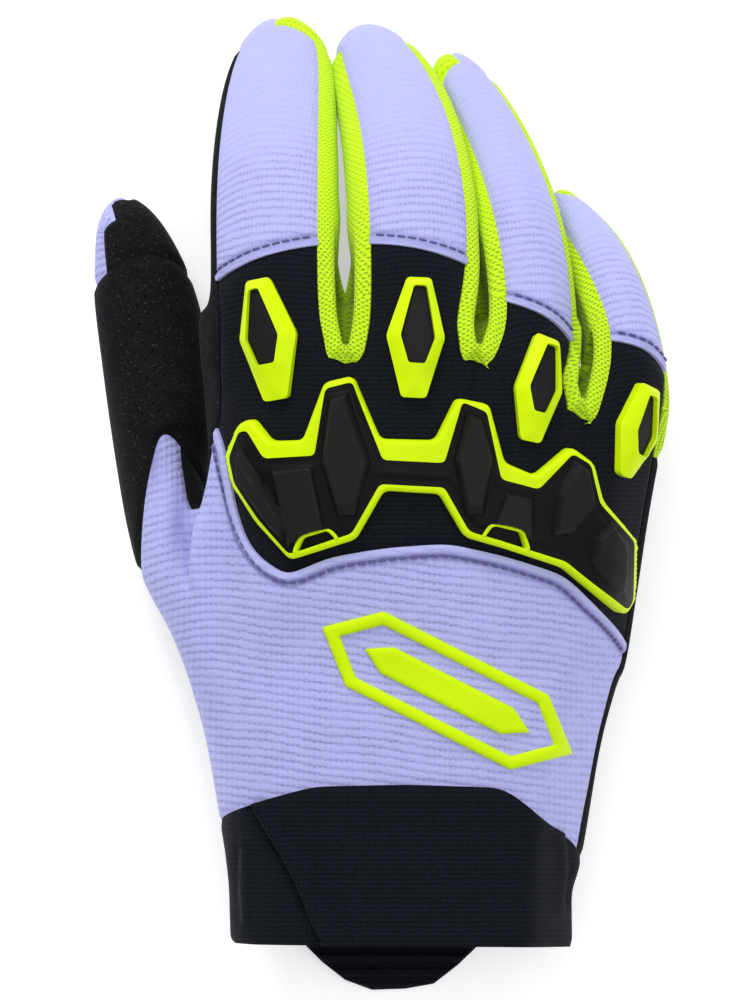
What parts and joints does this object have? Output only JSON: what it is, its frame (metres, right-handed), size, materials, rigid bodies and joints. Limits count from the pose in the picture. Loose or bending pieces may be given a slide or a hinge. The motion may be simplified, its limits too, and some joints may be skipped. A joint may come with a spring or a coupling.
{
  "type": "motocross glove",
  "caption": "Right-hand textile motocross glove lying palm down, with moulded knuckle and finger guards, mesh finger sides and a stretch cuff.",
  "frame": {"origin": "on the floor, on the flat of the palm's heel where the glove rests, between wrist and palm", "axes": "+Y towards the fingertips, +X towards the little finger, +Z out of the back of the hand"},
  "size_m": [0.1327, 0.2243, 0.0648],
  "materials": {
    "lilac_rib_knit": "ribbed stretch fabric",
    "black_knit": "fine black knit",
    "neon_mesh": "soft open mesh",
    "black_suede": "perforated synthetic suede",
    "neon_rubber": "satin moulded rubber",
    "black_rubber": "satin moulded rubber",
    "neon_transfer": "raised heat-pressed print"
  },
  "bodies": {
    "root": {"back_panel": "lilac_rib_knit", "back_transfer_bar": "neon_transfer", "back_transfer_frame": "neon_transfer", "cuff": "black_knit", "finger_back_index": "lilac_rib_knit", "finger_back_little": "lilac_rib_knit", "finger_back_middle": "lilac_rib_knit", "finger_back_ring": "lilac_rib_knit", "finger_guard_index": "neon_rubber", "finger_guard_inlay_index": "black_rubber", "finger_guard_inlay_little": "black_rubber", "finger_guard_inlay_middle": "black_rubber", "finger_guard_inlay_ring": "black_rubber", "finger_guard_little": "neon_rubber", "finger_guard_middle": "neon_rubber", "finger_guard_ring": "neon_rubber", "fourchette_index_middle": "neon_mesh", "fourchette_middle_ring": "neon_mesh", "fourchette_ring_little": "neon_mesh", "knuckle_guard": "black_rubber", "knuckle_guard_frame": "neon_rubber", "knuckle_panel": "black_knit", "palm": "black_suede", "pull_tab": "black_knit", "side_wall_little": "neon_mesh", "thumb_back": "lilac_rib_knit", "thumb_front": "black_suede", "thumb_patch": "black_suede"}
  },
  "joints": []
}
